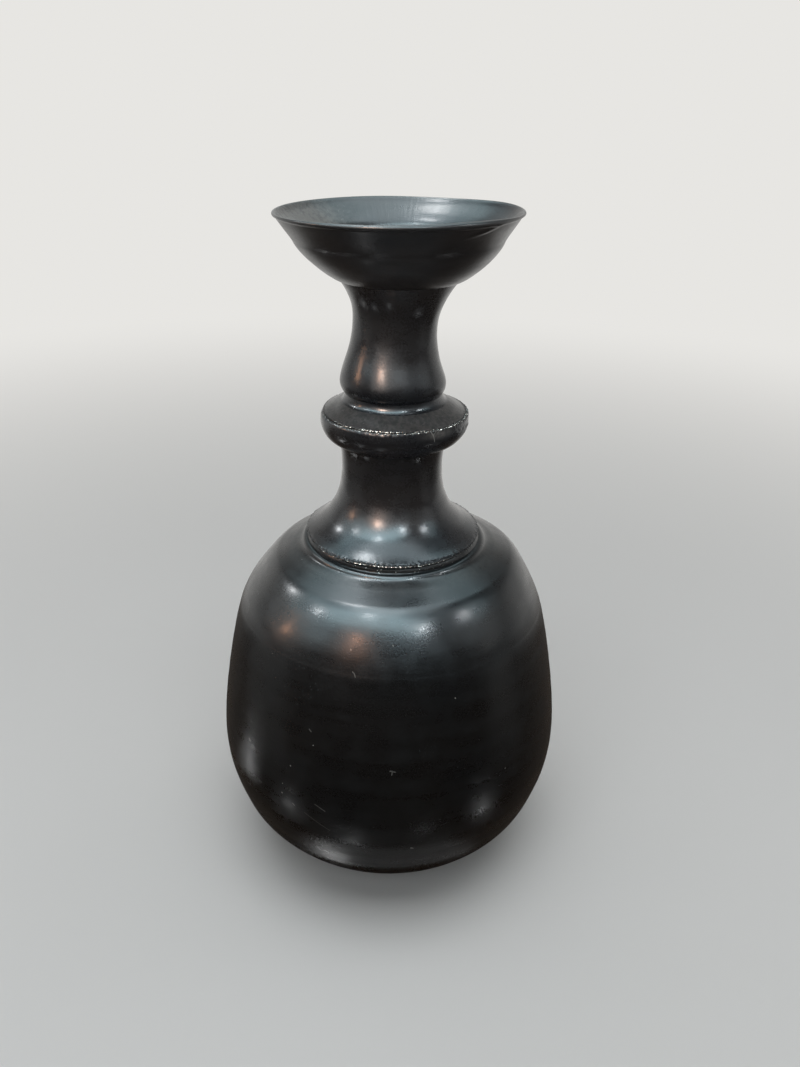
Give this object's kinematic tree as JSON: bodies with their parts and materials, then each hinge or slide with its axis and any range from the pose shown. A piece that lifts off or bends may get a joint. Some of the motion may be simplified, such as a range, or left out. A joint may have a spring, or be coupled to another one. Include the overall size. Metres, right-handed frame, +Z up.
{
  "type": "bud vase",
  "caption": "Burnished black pottery bud vase: wide-shouldered jar, waisted neck with a knop, and a flared mouth cup for one stem.",
  "frame": {"origin": "centre of the face that the vase stands on", "axes": "+Z up along the axis that every section is thrown about; X and Y are free, because the vase is round"},
  "size_m": [0.1058, 0.1058, 0.2],
  "materials": {
    "burnished_clay": "burnished, carbon-smoked black with a gunmetal lustre"
  },
  "bodies": {
    "root": {"foot_ring": "burnished_clay", "body": "burnished_clay", "lower_neck": "burnished_clay", "knop_lower": "burnished_clay", "knop_upper": "burnished_clay", "upper_neck": "burnished_clay", "mouth_cup": "burnished_clay"}
  },
  "joints": []
}
